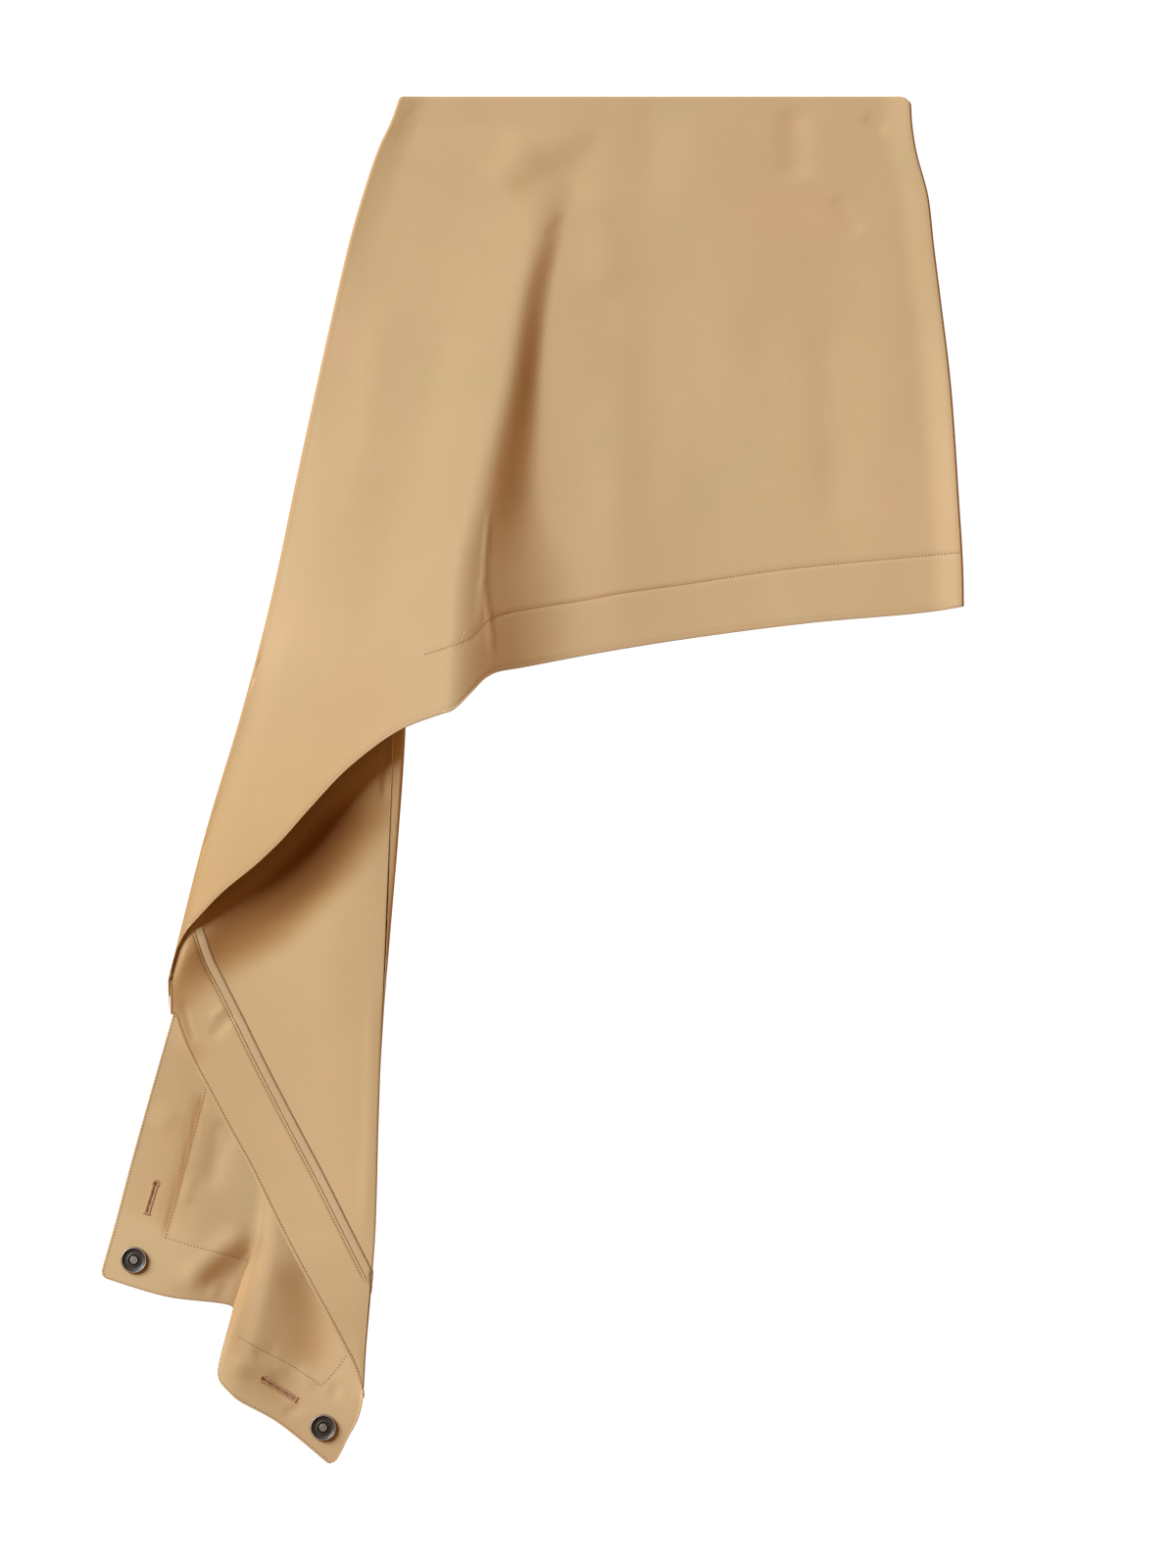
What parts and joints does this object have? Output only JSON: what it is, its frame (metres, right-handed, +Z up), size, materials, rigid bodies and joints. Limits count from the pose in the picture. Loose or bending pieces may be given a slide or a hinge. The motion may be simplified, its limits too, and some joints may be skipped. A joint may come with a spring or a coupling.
{
  "type": "asymmetric mini skirt",
  "caption": "Asymmetric cotton mini skirt laid flat: low straight waist, one soft drape fold and a long tail turned wrong side up, with a bound edge, ring snaps and keyhole buttonholes.",
  "frame": {"origin": "on the surface the skirt lies on, in the middle of its footprint", "axes": "+Y towards the waist edge, +X towards the side with the short hem, +Z up from the surface, out of the front of the skirt"},
  "size_m": [0.6351, 1.0057, 0.0371],
  "materials": {
    "camel_cloth": "matt cotton gabardine, right side",
    "wrong_side_cloth": "matt cotton gabardine, wrong side",
    "band_cloth": "matt cotton gabardine, stitched band",
    "binding_tape": "smooth satin tape with a soft gloss",
    "gunmetal": "dark plated, satin gloss",
    "dark_steel": "dark plated, brighter centre"
  },
  "bodies": {
    "root": {"front_panel": "camel_cloth", "back_panel": "camel_cloth", "tail_upper": "wrong_side_cloth", "tail_under": "camel_cloth", "hem_facing": "band_cloth", "hem_binding": "binding_tape", "snap_a_rim": "gunmetal", "snap_a_post": "dark_steel", "snap_b_rim": "gunmetal", "snap_b_post": "dark_steel"}
  },
  "joints": []
}
